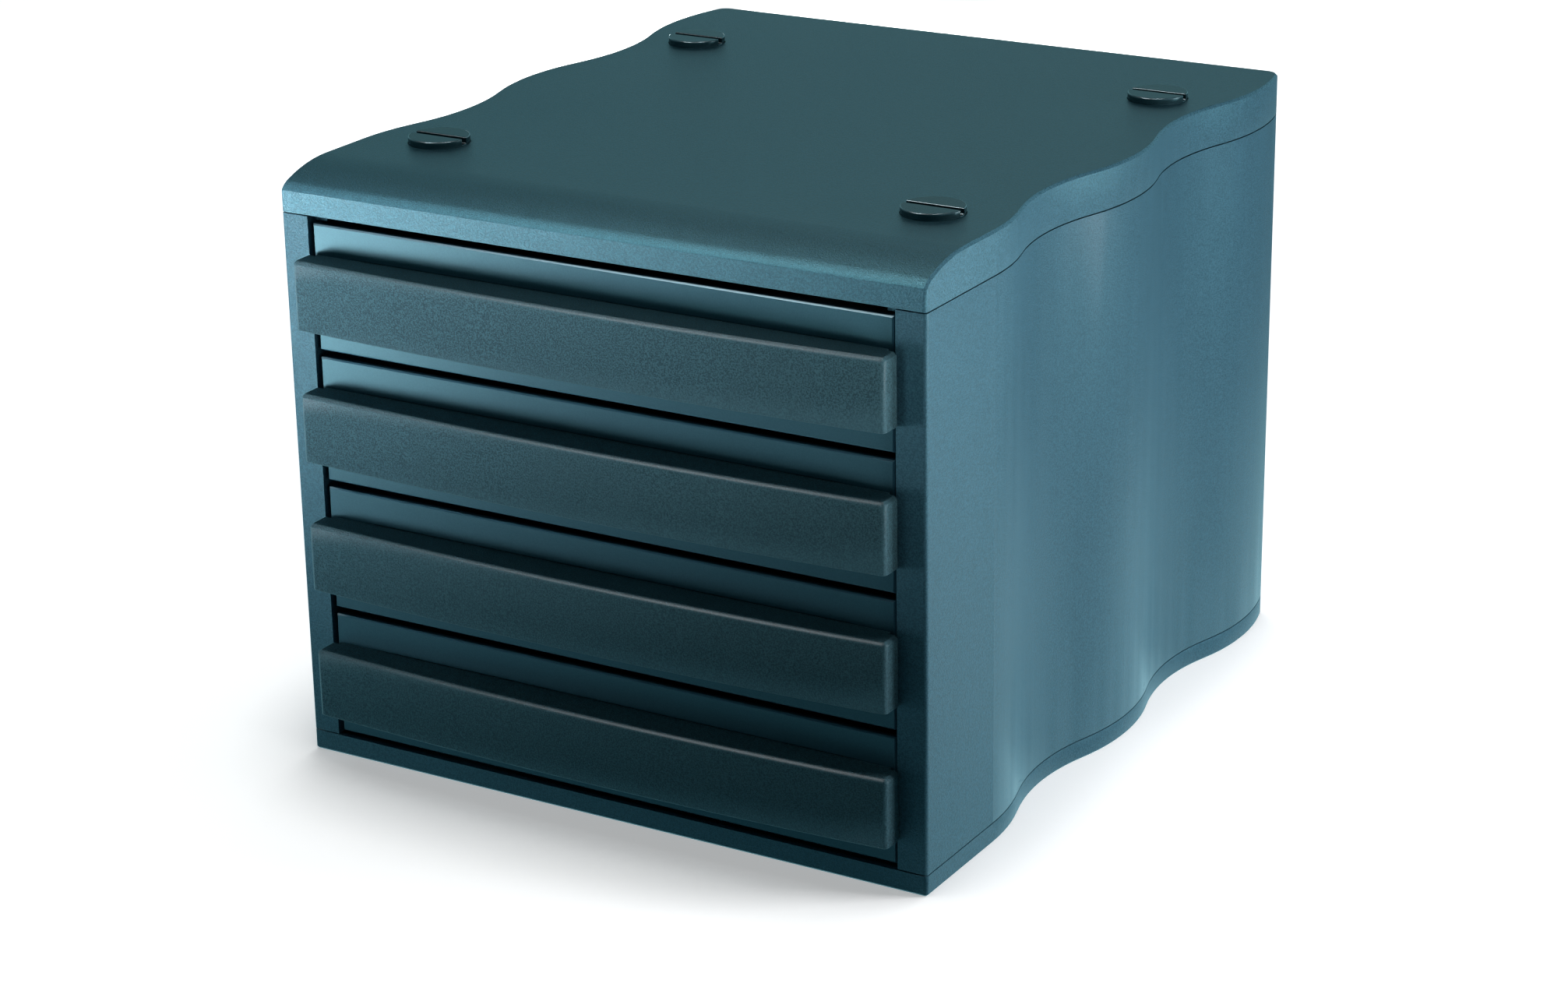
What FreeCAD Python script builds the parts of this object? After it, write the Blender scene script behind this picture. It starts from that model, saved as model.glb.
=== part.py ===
import FreeCAD
import Part
import math
import os

from FreeCAD import Vector

os.makedirs("parts", exist_ok=True)

# A stack of closed letter drawers in a wavy-sided plastic casing.
# Millimetres. Z is up from the desk, the drawers open towards -Y, X runs to the right.

# Casing, outside
width = 285.0
depth = 322.0
height = 245.0
base_height = 8.5
cover_height = 17.4
skin = 2.4
front_corner = 1.5
back_corner = 6.0
seam_gap = 0.5
foot_bevel = 0.9

# Waves down each side: arcs that alternate between bulge and waist
first_bulge = 53.0
last_bulge = 33.0
wave_rise = 8.8
wave_arcs = 5

# Front of the cover: a plain band, then a nose that rolls back to the flat top
band_height = 9.1
nose_radius = 8.0
nose_steep = math.radians(60)
nose_flat = math.radians(22)
edge_bevel = 1.0

# Drawers
drawer_count = 4
column_width = 12.5
panel_gap = 1.4
panel_space = 3.0
panel_start = 1.9
panel_thick = 2.5
panel_recess = 1.3
panel_bevel = 0.6
tray_inset = 6.5
tray_wall = 1.8
tray_floor = 1.5
tray_drop = 5.3
tray_back = 8.0
tray_corner = 5.0
tray_bevel = 2.5
rim_width = 4.9
rim_thick = 2.0
stop_length = 8.0
stop_height = 2.0

# Rails for the drawer rims
running = 0.3
rail_inset = 0.7
rail_thick = 2.4
rail_start = 5.0
keeper_thick = 2.0
keeper_length = 55.0
lip_thick = 1.8
lip_depth = 9.0
lip_bevel = 0.8
ledge_width = 11.0
ledge_thick = 2.2
fit_gap = 0.15

# Handles
handle_overlap = 1.0
handle_low = 10.7
handle_high = 39.1
handle_end = 10.0
handle_bow = 4.3
handle_wall = 2.4
handle_round = 2.0
handle_bevel = 1.4
handle_standoff = 0.5
handle_back_inset = 3.0
handle_web = 1.6
handle_web_depth = 8.0
handle_web_pitch = 50.8
hook_places = (-101.6, -50.8, 0.0, 50.8, 101.6)
hook_width = 12.0
hook_thick = 2.0
hook_barb = 1.2
hook_slack = 0.3

# Quarter-turn locks that hold the cover down, each with a cross-shaped shaft
lock_side = 31.2
lock_front = 63.0
lock_back = 65.0
disc_radius = 12.3
disc_proud = 2.8
disc_sunk = 0.5
coin_slot = 2.8
coin_depth = 2.4
shaft_radius = 6.0
shaft_web = 2.6
peg_half = 2.5
peg_play = 0.1
peg_barb = 0.5
peg_tail = 1.2
key_half = 11.0
key_width = 7.0
key_thick = 2.5
key_bevel = 2.0
key_slack = 0.4

# Bars across the top of the casing that tie the walls and take the locks
bar_half = 13.0
bar_reach = 1.5
bar_lip = 5.0
bar_peg = 4.0
bar_peg_inset = 1.0

# Base, tabs and stiffening
rib_thick = 1.6
rib_depth = 4.0
rib_x = (-48.0, 48.0)
rib_y = (-52.0, 52.0)
socket_gap = 0.5
tab_places = (-130.0, -45.0, 45.0, 130.0)
tab_width = 12.0
tab_thick = 1.8
tab_barb = 1.2
tab_inset = 3.6
tab_depth = 4.5
cover_tab_height = 4.0
back_rib_depth = 2.5
back_rib_count = 5
back_rib_side = 50.0
back_rib_end = 36.5
clip_end = 31.5
clip_inset = 7.6

# What follows from the sizes above
front_y = -depth / 2
back_y = depth / 2
seam = height - cover_height
band_top = seam + band_height
wave_half = (depth - first_bulge - last_bulge) / (wave_arcs - 1)
wave_radius = (wave_half ** 2 + wave_rise ** 2) / (4 * wave_rise)
nose_rise = nose_radius * (math.cos(nose_flat) - math.cos(nose_steep))
roll_radius = (height - band_top - nose_rise) / (1 - math.cos(nose_flat))
opening_half = width / 2 - column_width
first_panel = base_height + panel_start
drawer_pitch = (seam - first_panel) / drawer_count
panel_half = opening_half - panel_gap
panel_height = drawer_pitch - panel_space
panel_y = front_y + panel_recess
panel_back = panel_y + panel_thick
tray_half = opening_half - tray_inset
tray_height = panel_height - tray_drop
tray_end = back_y - tray_back
rim_half = tray_half + rim_width
rail_edge = tray_half + rail_inset
handle_half = opening_half + handle_overlap
handle_back_half = opening_half - handle_back_inset
lock_x = width / 2 - lock_side
bar_end = opening_half + bar_reach
bar_peg_x = opening_half - bar_peg_inset
tab_x = opening_half - tab_inset
clip_x = opening_half - clip_inset
clip_places = (base_height + clip_end, (base_height + seam) / 2, seam - clip_end)
ledge_y = back_y - skin - ledge_thick
flange_low = seam - rail_thick
bar_top = seam + skin
lock_places = {"front": front_y + lock_front, "back": back_y - lock_back}
over = 1.0
tiny = 1e-6


def block(x0, x1, y0, y1, z0, z1):
    return Part.makeBox(x1 - x0, y1 - y0, z1 - z0, Vector(x0, y0, z0))


def post(x, y, radius, z0, z1):
    return Part.makeCylinder(radius, z1 - z0, Vector(x, y, z0))


def mirrored(shape):
    return shape.mirror(Vector(0, 0, 0), Vector(1, 0, 0))


def join(shapes):
    return shapes[0].fuse(shapes[1:]).removeSplitter()


def write(name, shape):
    shape.exportStep("parts/" + name + ".step")


# Plan of one side, front to back, set in from the outside face
def side_path(inset):
    front, back, x = front_y + inset, back_y - inset, width / 2 - inset
    first = front_y + first_bulge
    swing = math.asin(wave_half / 2 / wave_radius)
    edges = [Part.makeLine(Vector(x, front, 0), Vector(x, first, 0))]
    start = 0.0
    for number in range(wave_arcs):
        bulge = number % 2 == 0
        out = 1 if bulge else -1
        centre_x = width / 2 - wave_radius if bulge else width / 2 - wave_rise + wave_radius
        centre_y = first + number * wave_half
        radius = wave_radius - out * inset
        last = number == wave_arcs - 1
        end = math.asin((back - centre_y) / radius) if last else swing
        points = [Vector(centre_x + out * radius * math.cos(a), centre_y + radius * math.sin(a), 0)
                  for a in (start, (start + end) / 2, end)]
        edges.append(Part.Arc(*points).toShape())
        start = -swing
    return edges


# Least half width of the casing across a tab's length, from the arcs of the side
def half_width(y):
    line = Part.makeBox(width, tab_width, over, Vector(0, y - tab_width / 2, 0))
    return min(edge.common(line).BoundBox.XMin for edge in side_path(0) if edge.common(line).Edges)


def standing_edges(solid, y):
    return [e for e in solid.Edges
            if e.BoundBox.ZLength > over and abs(e.BoundBox.YMin - y) < tiny and e.BoundBox.YLength < tiny]


# Upright prism of the casing's plan with sharp corners
def plan_prism(inset, z0, z1):
    right = side_path(inset)
    left = [mirrored(edge) for edge in right]
    near, far = right[0].Vertexes[0].Point, right[-1].Vertexes[-1].Point
    ends = [Part.makeLine(Vector(-p.x, p.y, 0), p) for p in (near, far)]
    wire = Part.Wire(Part.sortEdges(right + left + ends)[0])
    solid = Part.Face(wire).extrude(Vector(0, 0, z1 - z0))
    solid.translate(Vector(0, 0, z0))
    return solid


def round_front(solid):
    return solid.makeFillet(front_corner, standing_edges(solid, front_y))


def round_back(solid):
    return solid.makeFillet(back_corner, standing_edges(solid, back_y))


# The same prism, with its corners rounded where it is the outside of the casing
def prism(inset, z0, z1):
    solid = plan_prism(inset, z0, z1)
    return solid if inset > 0 else round_front(round_back(solid))


def ring(outer, inner, z0, z1):
    return prism(outer, z0, z1).cut(prism(inner, z0 - over, z1 + over))


def rim_edges(solid, z):
    return [e for e in solid.Edges
            if e.BoundBox.ZLength < tiny and abs(e.BoundBox.ZMin - z) < tiny]


# Upright ribs in both directions, trimmed to a solid
def rib_grid(xs, ys, z0, z1, trim):
    bars = [block(x - rib_thick / 2, x + rib_thick / 2, front_y, back_y, z0, z1) for x in xs]
    bars += [block(-width / 2, width / 2, y - rib_thick / 2, y + rib_thick / 2, z0, z1) for y in ys]
    return join(bars).common(trim)


def lock_points():
    return [(side * lock_x, y) for side in (-1, 1) for y in lock_places.values()]


# Pairs of ribs on the base that hold the tabs under a side wall
def tab_pockets(side):
    pockets = []
    for y in tab_places:
        for x in (tab_x - fit_gap - rib_thick, tab_x + tab_thick + fit_gap):
            pocket = block(x, x + rib_thick, y - tab_width / 2, y + tab_width / 2, skin / 2,
                           base_height - fit_gap)
            pockets.append(pocket if side > 0 else mirrored(pocket))
    return pockets


# Base: a shallow tray, with holes in its floor for the discs of a casing below
def base_plate():
    body = prism(0, 0, base_height)
    body = body.makeChamfer(foot_bevel, rim_edges(body, 0))
    body = body.cut(prism(skin, skin, base_height + over))
    ribs = rib_grid(rib_x, rib_y, skin / 2, skin + rib_depth, prism(skin / 2, 0, base_height))
    body = join([body, ribs] + tab_pockets(-1) + tab_pockets(1))
    return body.cut([post(x, y, disc_radius + socket_gap, -over, base_height) for x, y in lock_points()])


# Shelf of the right wall: straight along the drawers, wavy where it meets the skin
def shelf(z0, z1, y0, y1, edge=rail_edge):
    return prism(skin / 2, z0, z1).common(block(edge, width, y0, y1, z0, z1))


def column():
    low = base_height + seam_gap
    bar = block(opening_half, width / 2 - skin / 2, front_y, front_y + skin, low, seam)
    edge = [e for e in standing_edges(bar, front_y) if abs(e.BoundBox.XMin - opening_half) < tiny]
    bar = bar.makeChamfer(lip_bevel, edge)
    lip = block(opening_half, opening_half + lip_thick, front_y + skin / 2, front_y + lip_depth, low, seam)
    return [bar, lip]


def back_ledge():
    inner = opening_half - ledge_width
    ledge = prism(skin / 2, base_height, seam).common(
        block(inner, width, ledge_y, back_y - skin, base_height, seam))
    for z in clip_places:
        ledge = ledge.cut(block(clip_x - hook_slack, clip_x + tab_thick + tab_barb + hook_slack,
                                ledge_y - over, back_y, z - tab_width / 2 - hook_slack,
                                z + tab_width / 2 + hook_slack))
    return ledge


def wall_tabs():
    below = [block(tab_x, tab_x + tab_thick, y - tab_width / 2, y + tab_width / 2,
                   base_height - tab_depth, base_height + over) for y in tab_places]
    above = []
    for y in tab_places:
        x = half_width(y) - skin - fit_gap - tab_thick
        above.append(block(x, x + tab_thick, y - tab_width / 2, y + tab_width / 2,
                           seam - over, seam + cover_tab_height))
    return below + above


def peg_boxes(slack, z0, z1):
    half = bar_peg / 2 + slack
    return [block(bar_peg_x - half, bar_peg_x + half, y - half, y + half, z0, z1)
            for y in lock_places.values()]


def side_wall():
    low = base_height + seam_gap
    shell = ring(0, skin, low, seam).common(block(opening_half, width, front_y, back_y, low, seam))
    start, end = front_y + rail_start, ledge_y + ledge_thick / 2
    pieces = [shell, back_ledge(), shelf(base_height, base_height + rail_thick, start, end),
              shelf(flange_low, seam, start, end)]
    for number in range(drawer_count):
        rim = panel_low(number) + tray_height
        top = rim - rim_thick - running
        pieces.append(shelf(top - rail_thick, top, start, end))
        pieces.append(shelf(rim + running, rim + running + keeper_thick, start, start + keeper_length))
    wall = join(pieces + column() + wall_tabs())
    return wall.cut(peg_boxes(fit_gap, flange_low - over, seam + over))


# Bar between the walls: a strip with a lip along each edge and a keyhole at each end
def cross_bar(y):
    strip = block(-bar_end, bar_end, y - bar_half, y + bar_half, seam, bar_top)
    lips = [block(-bar_end, bar_end, at, at + rib_thick, bar_top - skin / 2, bar_top + bar_lip)
            for at in (y - bar_half, y + bar_half - rib_thick)]
    half = bar_peg / 2
    pegs = [block(side * bar_peg_x - half, side * bar_peg_x + half, y - half, y + half,
                  flange_low - over, seam + over) for side in (-1, 1)]
    return join([strip] + lips + pegs).cut([key_hole(side * lock_x, y) for side in (-1, 1)])


# Round hole for the shaft, with the slot that the key passes when turned in line with it
def key_hole(x, y):
    half, wide = key_half + key_slack, key_width / 2 + key_slack
    slot = block(x - half, x + half, y - wide, y + wide, seam - over, bar_top + over)
    return slot.fuse(post(x, y, shaft_radius + running, seam - over, bar_top + over))


def panel_low(number):
    return first_panel + number * drawer_pitch


def spread(first, last):
    step = (last - first) / (back_rib_count - 1)
    return [first + number * step for number in range(back_rib_count)]


def rear_panel():
    half = opening_half - fit_gap
    sheet = block(-half, half, back_y - skin, back_y, base_height, seam)
    xs = spread(back_rib_side - opening_half, opening_half - back_rib_side)
    zs = spread(base_height + back_rib_end, seam - back_rib_end)
    frame = [block(x - rib_thick / 2, x + rib_thick / 2, back_y - skin - back_rib_depth, back_y - skin / 2,
                   zs[0], zs[-1]) for x in xs]
    frame += [block(xs[0], xs[-1], back_y - skin - back_rib_depth, back_y - skin / 2,
                    z - rib_thick / 2, z + rib_thick / 2) for z in zs]
    clips = []
    for z in clip_places:
        low, high = z - tab_width / 2, z + tab_width / 2
        arm = block(clip_x, clip_x + tab_thick, ledge_y - tab_barb, back_y - skin / 2, low, high)
        barb = block(clip_x, clip_x + tab_thick + tab_barb - hook_slack, ledge_y - tab_barb,
                     ledge_y - fit_gap, low, high)
        clips += [arm, barb, mirrored(arm), mirrored(barb)]
    return join([sheet] + frame + clips)


def arc_points(middle, radius, steep, flat):
    return [middle + Vector(0, -radius * math.sin(a), radius * math.cos(a))
            for a in (steep, (steep + flat) / 2, flat)]


# Side view of the cover, swept across the casing; the nose and the roll are tangent arcs
def cover_body(inset, z0):
    nose_y = front_y + nose_radius * math.sin(nose_steep)
    nose = Vector(-width, nose_y, band_top - nose_radius * math.cos(nose_steep))
    roll = nose - Vector(0, -math.sin(nose_flat), math.cos(nose_flat)) * (roll_radius - nose_radius)
    steep = math.asin((nose_y - front_y - inset) / (nose_radius - inset))
    first = arc_points(nose, nose_radius - inset, steep, nose_flat)
    second = arc_points(roll, roll_radius - inset, nose_flat, 0)
    corners = [second[-1], Vector(-width, back_y - inset, height - inset), Vector(-width, back_y - inset, z0),
               Vector(-width, front_y + inset, z0), first[0]]
    arcs = [Part.Arc(*first).toShape(), Part.Arc(*second).toShape()]
    wire = Part.Wire(arcs + Part.makePolygon(corners).Edges)
    return Part.Face(wire).extrude(Vector(2 * width, 0, 0)).common(plan_prism(inset, z0, height))


# The cover's top edges round the sides and back, but not those across the front
def cover_top_edges(solid):
    return [e for e in solid.Edges if e.BoundBox.ZMin > band_top - tiny
            and not (e.BoundBox.XLength > width / 2 and e.BoundBox.YMax < 0)]


def top_cover():
    body = round_back(cover_body(0, seam + seam_gap))
    body = round_front(body.makeChamfer(edge_bevel, cover_top_edges(body)))
    ceiling = height - skin
    body = body.cut(cover_body(skin, seam - over))
    ribs = rib_grid(rib_x, rib_y, ceiling - rib_depth, ceiling, cover_body(skin / 2, seam))
    holes = []
    for x, y in lock_points():
        holes.append(post(x, y, shaft_radius + running, bar_top, height + over))
        holes.append(post(x, y, disc_radius + running, height - disc_sunk - running, height + over))
    return join([body, ribs]).cut(holes)


def lock_disc(x, y):
    top, under = height + disc_proud, height - disc_sunk
    head = post(x, y, disc_radius, under, top)
    shoulder = seam - running
    blade = math.sqrt(shaft_radius ** 2 - shaft_web ** 2 / 4)
    shaft = [block(x - a, x + a, y - b, y + b, shoulder, under)
             for a, b in ((blade, shaft_web / 2), (shaft_web / 2, blade))]
    foot = shoulder - key_thick
    peg = block(x - peg_half, x + peg_half, y - peg_half, y + peg_half, foot - peg_tail, shoulder)
    barb = block(x - peg_half - peg_barb, x + peg_half + peg_barb, y - peg_half, y + peg_half,
                 foot - peg_tail, foot)
    slot = block(x - 2 * disc_radius, x + 2 * disc_radius, y - coin_slot / 2, y + coin_slot / 2,
                 top - coin_depth, top + over)
    return join([head, peg, barb] + shaft).cut(slot)


# Key under the bar, crosswise to its slot when locked
def lock_key(x, y):
    top = seam - running
    low = top - key_thick
    bar = block(x - key_width / 2, x + key_width / 2, y - key_half, y + key_half, low, top)
    corners = [e for e in bar.Edges if e.BoundBox.ZLength > over]
    hole = peg_half + peg_play
    return bar.makeChamfer(key_bevel, corners).cut(
        block(x - hole, x + hole, y - hole, y + hole, low - over, top + over))


# One drawer moulding: front panel, tray, bearing rim and stops
def drawer_tray(number):
    low = panel_low(number)
    panel = block(-panel_half, panel_half, panel_y, panel_back, low, low + panel_height)
    face = [e for e in panel.Edges if e.BoundBox.YMax < panel_y + tiny]
    panel = panel.makeChamfer(panel_bevel, face)
    rim = low + tray_height
    floor = low + tray_floor
    tray = block(-tray_half, tray_half, panel_back - over, tray_end, floor, rim)
    tray = tray.makeFillet(tray_corner, standing_edges(tray, tray_end))
    under = [e for e in rim_edges(tray, floor) if e.BoundBox.YMax > panel_back]
    tray = tray.makeChamfer(tray_bevel, under)
    inner = block(-tray_half + tray_wall, tray_half - tray_wall, panel_back, tray_end - tray_wall,
                  floor + tray_wall, rim + over)
    inner = inner.makeFillet(tray_corner - tray_wall, standing_edges(inner, tray_end - tray_wall))
    flange = block(-rim_half, rim_half, panel_back - over, tray_end, rim - rim_thick, rim)
    flange = flange.makeChamfer(tray_bevel, standing_edges(flange, tray_end))
    stop = block(rail_edge + running, rim_half, tray_end - tray_bevel - stop_length, tray_end - tray_bevel,
                 rim - rim_thick / 2, rim + running + stop_height)
    drawer = join([panel, tray, flange, stop, mirrored(stop)]).cut(inner)
    high = low + handle_high - handle_wall
    slots = [block(x - hook_width / 2 - hook_slack, x + hook_width / 2 + hook_slack, panel_y - over,
                   panel_back + over, high - hook_barb - hook_slack, high + hook_thick + hook_slack)
             for x in hook_places]
    return drawer.cut(slots)


# Upright prism with a straight back and ends and a bowed front
def handle_form(z0, z1, inset, back):
    half = handle_half - inset
    end_y = front_y - handle_end + inset
    bow = Part.Arc(Vector(-half, end_y, z0), Vector(0, end_y - handle_bow, z0), Vector(half, end_y, z0))
    sides = Part.makePolygon([Vector(half, end_y, z0), Vector(half, back, z0), Vector(-half, back, z0),
                              Vector(-half, end_y, z0)])
    return Part.Face(Part.Wire([bow.toShape()] + sides.Edges)).extrude(Vector(0, 0, z1 - z0))


# Handle: a hollow bar open behind and below, webs inside and hooks through the panel
def drawer_handle(number):
    low, high = panel_low(number) + handle_low, panel_low(number) + handle_high
    shut = front_y - handle_standoff
    body = handle_form(low, high, 0, shut)
    ends = [e for e in body.Edges if e.BoundBox.ZLength > over and e.BoundBox.YMax < shut - over]
    body = body.makeFillet(handle_round, ends)
    top = [e for e in rim_edges(body, high) if e.BoundBox.YMin < shut - over]
    body = body.makeChamfer(handle_bevel, top)
    ceiling = high - handle_wall
    hollow = handle_form(low - over, ceiling, handle_wall, back_y)
    roof = block(-handle_back_half, handle_back_half, shut - over, panel_y, ceiling, high)
    web_zone = handle_form(low, high, handle_wall / 2, panel_y).common(
        block(-width, width, -depth, panel_y, ceiling - handle_web_depth, ceiling + handle_wall / 2))
    count = int(handle_back_half // handle_web_pitch)
    webs = join([block(n * handle_web_pitch - handle_web / 2, n * handle_web_pitch + handle_web / 2,
                       -depth, panel_y, low, high) for n in range(-count, count + 1)]).common(web_zone)
    hooks = []
    for x in hook_places:
        left, right = x - hook_width / 2, x + hook_width / 2
        hooks.append(block(left, right, shut - over, panel_back + hook_barb, ceiling, ceiling + hook_thick))
        hooks.append(block(left, right, panel_back + fit_gap, panel_back + hook_barb,
                           ceiling - hook_barb, ceiling + hook_thick))
    return join([body.cut(hollow), roof, webs] + hooks)


def main():
    wall = side_wall()
    write("base_plate", base_plate())
    write("side_wall_right", wall)
    write("side_wall_left", mirrored(wall))
    write("rear_panel", rear_panel())
    write("top_cover", top_cover())
    for end, y in lock_places.items():
        write("cross_bar_" + end, cross_bar(y))
    for number in range(drawer_count):
        name = str(drawer_count - number)
        write("drawer_tray_" + name, drawer_tray(number))
        write("drawer_handle_" + name, drawer_handle(number))
    for side, x in (("left", -lock_x), ("right", lock_x)):
        for end, y in lock_places.items():
            write("lock_disc_" + end + "_" + side, lock_disc(x, y))
            write("lock_key_" + end + "_" + side, lock_key(x, y))


main()
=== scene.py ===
import math
import bpy
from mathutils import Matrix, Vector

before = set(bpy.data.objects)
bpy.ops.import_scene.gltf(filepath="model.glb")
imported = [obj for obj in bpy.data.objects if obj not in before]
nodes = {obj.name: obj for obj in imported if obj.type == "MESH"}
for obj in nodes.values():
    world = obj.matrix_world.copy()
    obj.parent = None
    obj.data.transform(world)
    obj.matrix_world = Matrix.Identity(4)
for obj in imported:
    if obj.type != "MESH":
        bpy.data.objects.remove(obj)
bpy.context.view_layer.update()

scene = bpy.context.scene
scene.view_settings.view_transform = "Standard"


# Shader maths: a socket that can be added, taken away and multiplied
class Wire:
    def __init__(self, tree, socket):
        self.tree, self.socket = tree, socket

    def math(self, operation, *values):
        return Wire(self.tree, addNode(self.tree, "ShaderNodeMath", {"operation": operation},
                                       dict(enumerate(values))).outputs[0])

    def __add__(self, other):
        return self.math("ADD", self, other)

    def __radd__(self, other):
        return self.math("ADD", other, self)

    def __sub__(self, other):
        return self.math("SUBTRACT", self, other)

    def __rsub__(self, other):
        return self.math("SUBTRACT", other, self)

    def __mul__(self, other):
        return self.math("MULTIPLY", self, other)

    def __rmul__(self, other):
        return self.math("MULTIPLY", other, self)


def addNode(tree, kind, settings=None, inputs=None):
    node = tree.nodes.new(kind)
    for name, value in (settings or {}).items():
        setattr(node, name, value)
    for name, value in (inputs or {}).items():
        if isinstance(value, Wire):
            tree.links.new(value.socket, node.inputs[name])
        else:
            node.inputs[name].default_value = value
    return node


class Shader:
    def __init__(self, tree, output="ShaderNodeOutputMaterial"):
        self.tree = tree
        tree.nodes.clear()
        self.out = addNode(tree, output)

    def node(self, kind, settings=None, inputs=None, output=0):
        return Wire(self.tree, addNode(self.tree, kind, settings, inputs).outputs[output])

    def place(self):
        return self.node("ShaderNodeTexCoord", output="Object")

    def noise(self, at, scale, detail, roughness=0.5, twist=0.0):
        return self.node("ShaderNodeTexNoise", None, {"Vector": at, "Scale": scale, "Detail": detail,
                                                      "Roughness": roughness, "Distortion": twist}, "Fac")

    def ramp(self, value, low, high, dark=0.0, light=1.0):
        return self.node("ShaderNodeMapRange", {"interpolation_type": "SMOOTHSTEP"},
                         {"Value": value, "From Min": low, "From Max": high, "To Min": dark, "To Max": light})

    # A Mix node's colour sockets go by number: 0 is the factor, 6 and 7 the colours, output 2 the result
    def blend(self, factor, first, second):
        return self.node("ShaderNodeMix", {"data_type": "RGBA"}, {0: factor, 6: first, 7: second}, 2)

    def finish(self, surface):
        self.tree.links.new(surface.socket, self.out.inputs["Surface"])


def newMaterial(name):
    material = bpy.data.materials.new(name)
    material.use_nodes = True
    return material, Shader(material.node_tree)


def colour(rgb, share=1.0):
    return tuple(c * share for c in rgb) + (1.0,)


def grey(level):
    return (level, level, level, 1.0)


# Edges: wherever the surface turns between two of the axes, told by the share of each pair of axes
def edgeMask(shader, look):
    split = addNode(shader.tree, "ShaderNodeSeparateXYZ", None,
                    {0: shader.node("ShaderNodeTexCoord", output="Normal")})
    x, y, z = (Wire(shader.tree, output) for output in split.outputs)
    x, y, z = (axis.math("ABSOLUTE", axis) for axis in (x, y, z))
    overSide, overFront, roundCorner = look["edgePairs"]
    return shader.ramp(x * z * overSide + y * z * overFront + x * y * roundCorner,
                       look["edgeFrom"], look["edgeTo"])


# Moulded plastic: a base colour, slow mottling, spark-eroded grain, smoother edges and a painted highlight of
# paler colour along the edges
def mouldedPlastic(name, look):
    material, shader = newMaterial(name)
    at = shader.place()
    cloud = shader.noise(at, look["cloudScale"], look["cloudDetail"])
    grain = shader.noise(at, 1.0 / look["grainSize"], look["grainDetail"], look["grainHardness"],
                         look["grainTwist"])
    fine = shader.noise(at, look["fineness"] / look["grainSize"], look["fineDetail"])
    # Speckle: darker in the grain's pits and paler on its peaks, partly the grain's own tone and partly
    # painted shade of its relief
    speck = shader.ramp(grain, look["grainLow"], look["grainHigh"])
    edge = edgeMask(shader, look)
    # A tone of 0.5 is the colour as written, 0 is black and 1 is twice as bright
    tone = (cloud - 0.5) * look["mottle"] + (speck - 0.5) * look["speckle"] + 0.5
    base = shader.blend(tone, grey(0.0), colour(look["rgb"], 2.0))
    # Painted highlight: the edges take a paler base colour that stands in for the light they catch; the coat
    # and lower roughness there are real gloss
    base = shader.blend(edge * look["paintedHighlightShare"], base, colour(look["rgb"], look["paintedHighlightLevel"]))
    rough = look["rough"] + (cloud - 0.5) * look["roughDrift"] + (speck - 0.5) * look["roughGrain"]
    rough = rough - edge * look["edgePolish"]
    bump = shader.node("ShaderNodeBump", None, {"Strength": look["bump"], "Distance": look["bumpDepth"],
                                                "Height": grain + fine * look["fineShare"]})
    shader.finish(shader.node("ShaderNodeBsdfPrincipled", None, {
        "Base Color": base, "Roughness": rough, "Normal": bump, "Specular IOR Level": look["specular"],
        "Specular Tint": colour(look["glossRgb"]), "Coat Weight": edge * look["edgeCoat"],
        "Coat Roughness": look["coatRough"], "Coat Tint": colour(look["coatRgb"])}))
    return material


casingLook = {"rgb": (0.042, 0.106, 0.146), "mottle": 0.10, "cloudScale": 14.0, "cloudDetail": 3.0,
              "grainSize": 0.0006, "grainDetail": 2.0, "grainHardness": 0.6, "grainTwist": 0.5,
              "grainLow": 0.38, "grainHigh": 0.62, "speckle": 0.24,
              "fineness": 2.7, "fineDetail": 1.0, "fineShare": 0.35, "bump": 0.7, "bumpDepth": 0.0003,
              "rough": 0.36, "roughDrift": 0.04, "roughGrain": 0.06,
              "specular": 0.215, "glossRgb": (0.30, 0.86, 1.0),
              "edgePairs": (1.0, 1.0, 0.0), "edgeFrom": 0.15, "edgeTo": 0.4, "paintedHighlightShare": 0.35,
              "paintedHighlightLevel": 1.5, "edgePolish": 0.08, "edgeCoat": 0.2,
              "coatRough": 0.3, "coatRgb": (0.9, 0.97, 1.0)}
coverLook = dict(casingLook, specular=0.46, speckle=0.3, rough=0.38, edgePairs=(1.0, 0.0, 0.0),
                 edgeCoat=0.1)
handleLook = dict(casingLook, rgb=(0.047, 0.103, 0.126), speckle=0.38, bump=1.0, bumpDepth=0.0005,
                  rough=0.48, roughGrain=0.12, specular=0.13, edgePairs=(1.0, 1.0, 1.0), paintedHighlightShare=0.4,
                  edgeCoat=0.25, coatRough=0.42)
drawerLook = dict(casingLook, rgb=(0.039, 0.098, 0.130), grainSize=0.0005, speckle=0.06, bump=0.15,
                  bumpDepth=0.00006, rough=0.34, roughGrain=0.04, edgePairs=(1.0, 1.0, 1.0),
                  paintedHighlightShare=0.6, paintedHighlightLevel=2.2, edgeCoat=0.6)
lockLook = dict(casingLook, rgb=(0.022, 0.052, 0.062), grainSize=0.0005, speckle=0.05, bump=0.1,
                bumpDepth=0.00006, rough=0.24, roughGrain=0.03, specular=0.1, paintedHighlightShare=0.6,
                paintedHighlightLevel=3.0, edgeCoat=1.0)

casingPlastic = mouldedPlastic("casingPlastic", casingLook)
coverPlastic = mouldedPlastic("coverPlastic", coverLook)
handlePlastic = mouldedPlastic("handlePlastic", handleLook)
drawerPlastic = mouldedPlastic("drawerPlastic", drawerLook)
lockPlastic = mouldedPlastic("lockPlastic", lockLook)
print("materials made")

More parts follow.
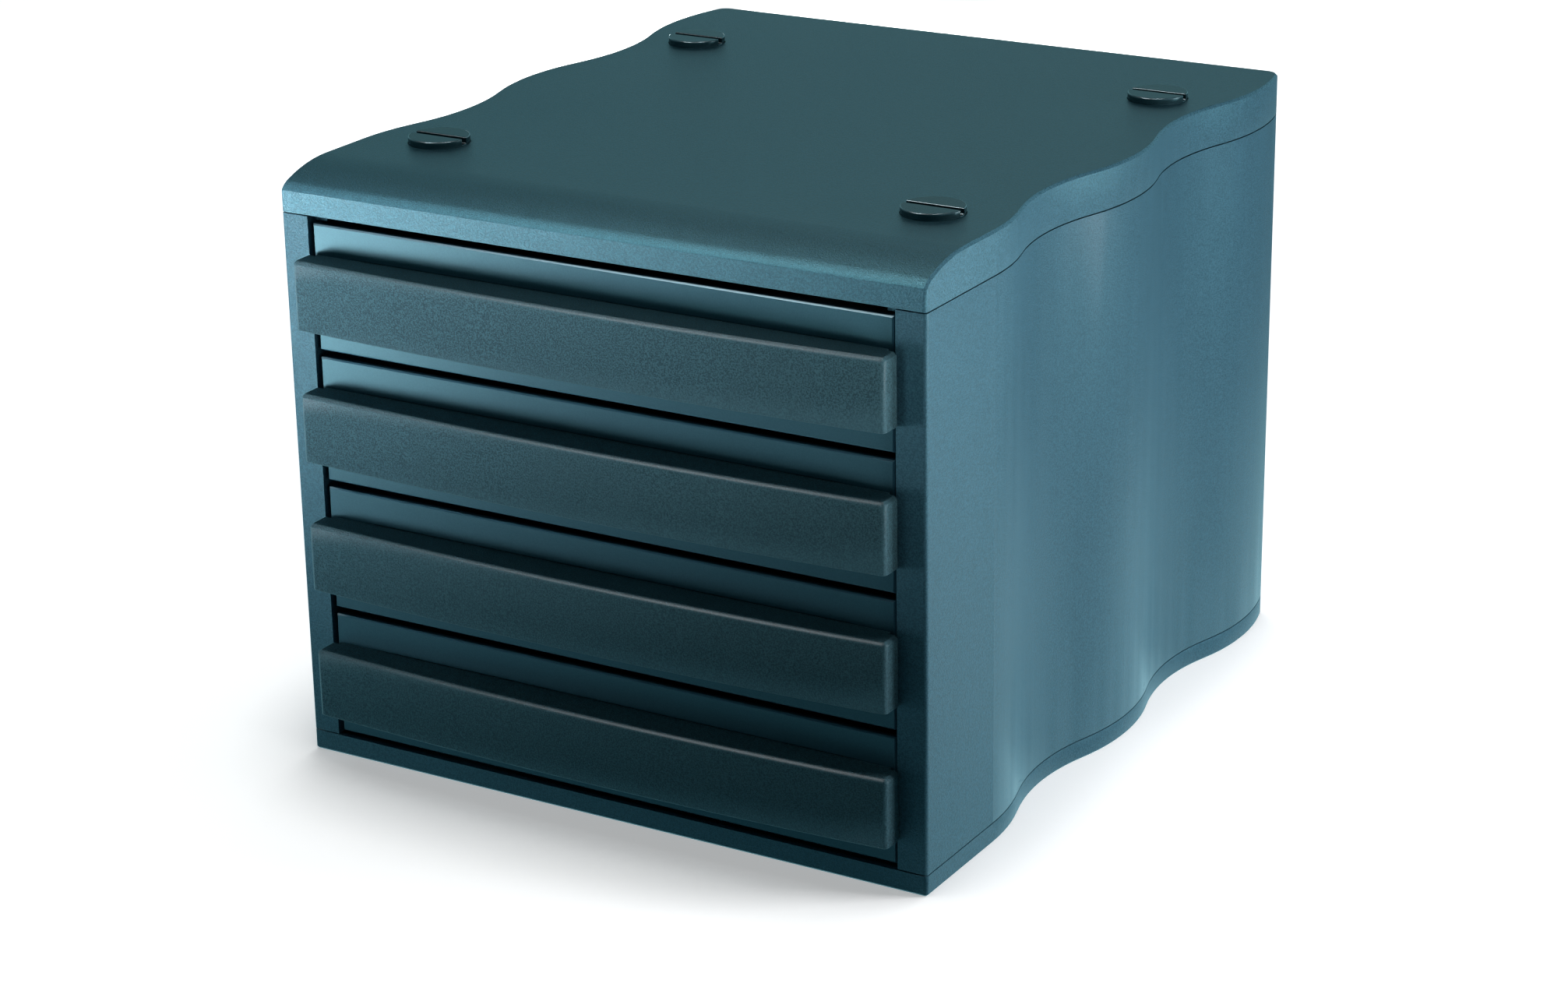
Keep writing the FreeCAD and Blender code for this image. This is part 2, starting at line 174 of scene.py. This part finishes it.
# Dressing: a node's mesh with its flat faces joined up and its edges rounded, by the width given per plastic
dressing = {"mergeWithin": 0.000005, "flatWithin": 0.3, "sharpFrom": 28.0, "segments": 2}
plastics = {"handle": (handlePlastic, 0.0006), "tray": (drawerPlastic, 0.00035),
            "cover": (coverPlastic, 0.00045), "lock": (lockPlastic, 0.00035)}
otherPlastic = (casingPlastic, 0.00045)


def dress(node, material, width):
    thing = nodes[node]
    thing.data.materials.clear()
    thing.data.materials.append(material)
    weld = thing.modifiers.new("weld", "WELD")
    weld.merge_threshold = dressing["mergeWithin"]
    flat = thing.modifiers.new("flat", "DECIMATE")
    flat.decimate_type, flat.use_dissolve_boundaries = "DISSOLVE", False
    flat.angle_limit = math.radians(dressing["flatWithin"])
    edge = thing.modifiers.new("edge", "BEVEL")
    edge.width, edge.segments, edge.limit_method = width, dressing["segments"], "ANGLE"
    edge.angle_limit, edge.harden_normals = math.radians(dressing["sharpFrom"]), True
    # A disc's shortest edges would hold its rim sharp
    edge.use_clamp_overlap = "disc" not in node


for node in nodes:
    dress(node, *next((plastics[word] for word in plastics if word in node), otherPlastic))
print("nodes dressed")

# Camera
cameraAt = {"location": (0.72642, -1.23856, 0.61112), "angles": (69.8367, 0.8439, 30.5269),
            "lens": 83.749, "sensor": 36.0}
cameraData = bpy.data.cameras.new("camera")
camera = bpy.data.objects.new("camera", cameraData)
scene.collection.objects.link(camera)
camera.location = cameraAt["location"]
camera.rotation_euler = [math.radians(a) for a in cameraAt["angles"]]
cameraData.lens, cameraData.sensor_width = cameraAt["lens"], cameraAt["sensor"]
scene.camera = camera

# Stage: to the camera a white floor that darkens where the casing shuts it in, and a white distance;
# to reflections a pale sheen round the casing and a pale horizon under a dim ceiling
stageLook = {"size": 60.0, "floorSeen": 0.9, "floorBounce": 0.15,
             "contact": 0.1, "contactSamples": 8, "shutIn": 0.5, "openOut": 0.95,
             "glowNear": 0.4, "glowFar": 0.97,
             "nearEdge": 0.15, "farEdge": 0.75, "sheenNear": 1.0, "sheenFar": 0.2,
             "horizonTop": 0.52, "ceilingLow": 0.64, "horizon": 0.57, "ceiling": 0.038,
             "ambient": 0.05, "skyRgb": (0.38, 0.88, 1.0)}


# Two masks: rays from the camera, and rays sent on by a glossy or clear surface
def rayKinds(shader):
    paths = addNode(shader.tree, "ShaderNodeLightPath")
    camera, glossy, through = (Wire(shader.tree, paths.outputs[name])
                               for name in ("Is Camera Ray", "Is Glossy Ray", "Is Transmission Ray"))
    return camera, glossy.math("MAXIMUM", glossy, through)


def makeFloor(look):
    material, shader = newMaterial("floorWhite")
    camera, reflected = rayKinds(shader)
    seen = camera.math("MAXIMUM", camera, reflected)
    away = shader.node("ShaderNodeVectorMath", {"operation": "LENGTH"}, {0: shader.place()}, "Value")
    # Painted contact shadow: the glow seen by the camera falls from glowFar to glowNear where ambient
    # occlusion finds the casing close
    clear = shader.node("ShaderNodeAmbientOcclusion", {"samples": look["contactSamples"]},
                        {"Distance": look["contact"]}, "AO")
    glow = shader.ramp(clear, look["shutIn"], look["openOut"], look["glowNear"], look["glowFar"])
    sheen = shader.ramp(away, look["nearEdge"], look["farEdge"], look["sheenNear"], look["sheenFar"])
    light = shader.blend((1 - camera) * reflected * sheen, grey(0.0), colour(look["skyRgb"]))
    light = shader.blend(camera * glow, light, grey(1.0))
    plain = shader.node("ShaderNodeBsdfDiffuse", None, {
        "Color": shader.blend(seen, grey(look["floorBounce"]), grey(look["floorSeen"]))})
    shine = shader.node("ShaderNodeEmission", None, {"Color": light})
    shader.finish(shader.node("ShaderNodeAddShader", None, {0: plain, 1: shine}))
    half = look["size"] / 2
    mesh = bpy.data.meshes.new("floor")
    mesh.from_pydata([(-half, -half, 0), (half, -half, 0), (half, half, 0), (-half, half, 0)],
                     [], [(0, 1, 2, 3)])
    floor = bpy.data.objects.new("floor", mesh)
    floor.data.materials.append(material)
    scene.collection.objects.link(floor)


def makeWorld(look):
    world = bpy.data.worlds.new("studio")
    world.use_nodes = True
    shader = Shader(world.node_tree, "ShaderNodeOutputWorld")
    camera, reflected = rayKinds(shader)
    up = shader.node("ShaderNodeSeparateXYZ", None,
                     {0: shader.node("ShaderNodeTexCoord", output="Generated")}, "Z")
    pale = shader.ramp(up, look["horizonTop"], look["ceilingLow"], look["horizon"], look["ceiling"])
    strength = camera + (1 - camera) * (reflected * pale + (1 - reflected) * look["ambient"])
    tint = shader.blend(camera, colour(look["skyRgb"]), grey(1.0))
    shader.finish(shader.node("ShaderNodeBackground", None, {"Color": tint, "Strength": strength}))
    scene.world = world


makeFloor(stageLook)
makeWorld(stageLook)

# Lamps: place, point aimed at, size across and down, watts, spread in degrees and colour; a glint adds
# highlights along rounded edges and no other light
lamps = {
    "sideBox": ((0.55, 0.08, 0.21), (0.14, -0.02, 0.12), 0.2, 0.2, 2.2, 180, (0.98, 0.98, 1.0)),
    "leftLow": ((-0.45, -0.60, 0.08), (-0.14, -0.16, 0.30), 0.12, 0.12, 0.15, 50, (1.0, 0.96, 1.0)),
    "leftSide": ((-0.65, -0.50, 0.06), (-0.14, -0.16, 0.31), 0.12, 0.12, 0.32, 40, (0.98, 0.96, 1.0)),
    "leftWide": ((-0.45, -0.45, 0.05), (-0.14, -0.16, 0.20), 0.12, 0.12, 0.19, 60, (0.8, 0.95, 1.0)),
    "frontLow": ((-0.15, -0.90, 0.06), (0.05, -0.16, 0.32), 0.2, 0.2, 0.12, 30, (0.9, 0.98, 1.0)),
    "rightLow": ((0.60, -0.25, 0.10), (0.14, -0.16, 0.25), 0.12, 0.12, 0.09, 35, (1.0, 0.98, 0.95)),
    "noseGlint": ((0.2, -0.15, 0.9), (0.1, -0.15, 0.24), 0.25, 0.2, 6.0, 180, (0.95, 0.98, 1.0)),
    "edgeGlint": ((-0.33, -0.61, 0.89), (0.0, -0.16, 0.24), 0.4, 0.3, 14.0, 180, (0.9, 0.96, 1.0)),
    "rollGlint": ((-0.25, -0.12, 0.9), (0.0, -0.15, 0.24), 0.25, 0.2, 2.4, 180, (0.9, 0.96, 1.0)),
    "topBox": ((-0.6, 1.5, 1.2), (0.0, 0.0, 0.24), 1.0, 0.7, 0.8, 180, (0.8, 0.98, 1.0)),
    "rearBox": ((-0.7, 1.1, 0.13), (-0.05, 0.16, 0.13), 0.5, 0.18, 4.0, 180, (0.96, 1.0, 1.0)),
}


def makeLamp(name, place, target, across, down, watts, spread, rgb):
    data = bpy.data.lights.new(name, "AREA")
    data.shape, data.size, data.size_y, data.energy, data.color = "RECTANGLE", across, down, watts, rgb
    data.spread = math.radians(spread)
    lamp = bpy.data.objects.new(name, data)
    scene.collection.objects.link(lamp)
    lamp.location = place
    aim = Vector([b - a for a, b in zip(place, target)])
    lamp.rotation_mode = "QUATERNION"
    lamp.rotation_quaternion = aim.to_track_quat("-Z", "Y")
    lamp.visible_camera = False
    lamp.visible_diffuse = "Glint" not in name


for name, values in lamps.items():
    makeLamp(name, *values)
print("camera, stage and lamps placed")
